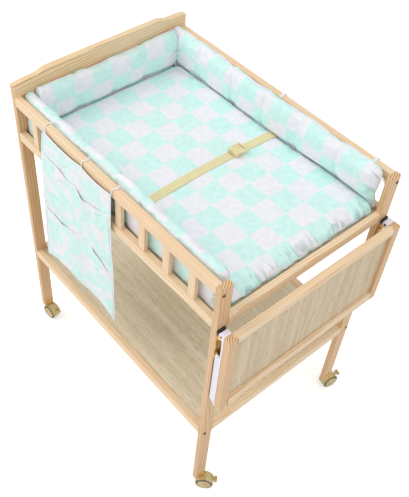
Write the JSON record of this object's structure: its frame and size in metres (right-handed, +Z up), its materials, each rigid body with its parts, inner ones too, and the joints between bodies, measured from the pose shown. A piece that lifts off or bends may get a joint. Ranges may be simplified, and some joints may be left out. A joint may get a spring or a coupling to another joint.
{
  "type": "changing table",
  "caption": "Wooden baby changing table with railed padded top, safety strap, storage shelf, hanging pocket organizer, fold-up end flap and swivel casters.",
  "frame": {"origin": "middle of the whole part's footprint, on the floor under the wheels", "axes": "+X along the table towards the end with the flap, -Y towards the long side with the organizer, +Z up"},
  "size_m": [0.8479, 0.5999, 0.947],
  "materials": {
    "pine": "clear-lacquered planed pine",
    "plywood": "thin clear-lacquered plywood",
    "white_steel": "white powder coat",
    "zinc_steel": "yellow zinc plate",
    "black_plastic": "moulded, matt",
    "cream_plastic": "moulded nylon, satin",
    "check_cotton": "printed cotton in mint and white squares",
    "webbing": "woven polyester webbing",
    "white_cord": "soft woven tape cord"
  },
  "bodies": {
    "frame": {"front_left_post": "pine", "front_right_post": "pine", "rear_left_post": "pine", "rear_right_post": "pine", "headboard": "pine", "front_top_rail": "pine", "front_gallery": "pine", "front_shelf_rail": "pine", "rear_top_rail": "pine", "rear_gallery": "pine", "rear_shelf_rail": "pine", "left_end_rail": "pine", "left_shelf_rail": "pine", "right_end_rail": "pine", "right_shelf_rail": "pine", "head_rail": "pine", "mattress_board": "plywood", "shelf_board": "plywood", "front_bracket_fixed_arm": "zinc_steel", "rear_bracket_fixed_arm": "zinc_steel", "front_bracket_cap": "black_plastic", "rear_bracket_cap": "black_plastic", "front_left_leg_bracket": "zinc_steel", "front_right_leg_bracket": "zinc_steel", "rear_left_leg_bracket": "zinc_steel", "rear_right_leg_bracket": "zinc_steel", "mattress": "check_cotton", "bumper_rear": "check_cotton", "bumper_front": "check_cotton", "bumper_left": "check_cotton", "strap_front": "webbing", "strap_rear": "webbing", "buckle_socket": "cream_plastic", "buckle_plug": "cream_plastic", "organizer": "check_cotton", "organizer_loop_1": "white_cord", "organizer_loop_2": "white_cord", "organizer_loop_3": "white_cord"},
    "flap": {"flap_front_stile": "pine", "flap_rear_stile": "pine", "flap_top_bar": "pine", "flap_foot_bar": "pine", "flap_panel": "plywood", "front_bracket_moving_arm": "white_steel", "rear_bracket_moving_arm": "white_steel"},
    "front_brace": {"front_bracket_brace": "white_steel"},
    "rear_brace": {"rear_bracket_brace": "white_steel"},
    "front_left_swivel": {"front_left_caster_hood": "cream_plastic"},
    "front_left_wheels": {"front_left_caster_wheels": "cream_plastic"},
    "front_left_brake": {"front_left_caster_brake": "cream_plastic"},
    "front_right_swivel": {"front_right_caster_hood": "cream_plastic"},
    "front_right_wheels": {"front_right_caster_wheels": "cream_plastic"},
    "front_right_brake": {"front_right_caster_brake": "cream_plastic"},
    "rear_left_swivel": {"rear_left_caster_hood": "cream_plastic"},
    "rear_left_wheels": {"rear_left_caster_wheels": "cream_plastic"},
    "rear_left_brake": {"rear_left_caster_brake": "cream_plastic"},
    "rear_right_swivel": {"rear_right_caster_hood": "cream_plastic"},
    "rear_right_wheels": {"rear_right_caster_wheels": "cream_plastic"},
    "rear_right_brake": {"rear_right_caster_brake": "cream_plastic"}
  },
  "joints": [
    {"name": "flap_hinge", "type": "hinge", "parent": "frame", "child": "flap", "pos_m": [0.395, -0.012, 0.759], "axis": [0, -1, 0], "range_deg": [0, 90]},
    {"name": "front_brace_hinge", "type": "hinge", "parent": "frame", "child": "front_brace", "pos_m": [0.3912, -0.275, 0.677], "axis": [0, -1, 0], "range_deg": [0, 115.81]},
    {"name": "rear_brace_hinge", "type": "hinge", "parent": "frame", "child": "rear_brace", "pos_m": [0.3912, 0.251, 0.677], "axis": [0, -1, 0], "range_deg": [0, 115.81]},
    {"name": "front_left_swivel_turn", "type": "hinge", "parent": "frame", "child": "front_left_swivel", "pos_m": [-0.391, -0.2705, 0.04], "axis": [0, 0, 1], "continuous": true},
    {"name": "front_left_wheel_spin", "type": "hinge", "parent": "front_left_swivel", "child": "front_left_wheels", "pos_m": [-0.37317, -0.26799, 0.0235], "axis": [-0.1392, 0.9903, 0], "continuous": true},
    {"name": "front_left_brake_press", "type": "hinge", "parent": "front_left_swivel", "child": "front_left_brake", "pos_m": [-0.35838, -0.26592, 0.03603], "axis": [-0.1392, 0.9903, 0], "range_deg": [0, 16]},
    {"name": "front_right_swivel_turn", "type": "hinge", "parent": "frame", "child": "front_right_swivel", "pos_m": [0.373, -0.2705, 0.04], "axis": [0, 0, 1], "continuous": true},
    {"name": "front_right_wheel_spin", "type": "hinge", "parent": "front_right_swivel", "child": "front_right_wheels", "pos_m": [0.38638, -0.25846, 0.0235], "axis": [-0.6691, 0.7431, 0], "continuous": true},
    {"name": "front_right_brake_press", "type": "hinge", "parent": "front_right_swivel", "child": "front_right_brake", "pos_m": [0.39748, -0.24846, 0.03603], "axis": [-0.6691, 0.7431, 0], "range_deg": [0, 16]},
    {"name": "rear_left_swivel_turn", "type": "hinge", "parent": "frame", "child": "rear_left_swivel", "pos_m": [-0.391, 0.2465, 0.04], "axis": [0, 0, 1], "continuous": true},
    {"name": "rear_left_wheel_spin", "type": "hinge", "parent": "rear_left_swivel", "child": "rear_left_wheels", "pos_m": [-0.39945, 0.26239, 0.0235], "axis": [-0.8829, -0.4695, 0], "continuous": true},
    {"name": "rear_left_brake_press", "type": "hinge", "parent": "rear_left_swivel", "child": "rear_left_brake", "pos_m": [-0.40646, 0.27558, 0.03603], "axis": [-0.8829, -0.4695, 0], "range_deg": [0, 16]},
    {"name": "rear_right_swivel_turn", "type": "hinge", "parent": "frame", "child": "rear_right_swivel", "pos_m": [0.373, 0.2465, 0.04], "axis": [0, 0, 1], "continuous": true},
    {"name": "rear_right_wheel_spin", "type": "hinge", "parent": "rear_right_swivel", "child": "rear_right_wheels", "pos_m": [0.37674, 0.26411, 0.0235], "axis": [-0.9781, 0.2079, 0], "continuous": true},
    {"name": "rear_right_brake_press", "type": "hinge", "parent": "rear_right_swivel", "child": "rear_right_brake", "pos_m": [0.37985, 0.27872, 0.03603], "axis": [-0.9781, 0.2079, 0], "range_deg": [0, 16]}
  ],
  "couplings": [
    {"joint": "front_brace_hinge", "follows": "flap_hinge", "ratio": 1.2863},
    {"joint": "rear_brace_hinge", "follows": "flap_hinge", "ratio": 1.2863}
  ]
}
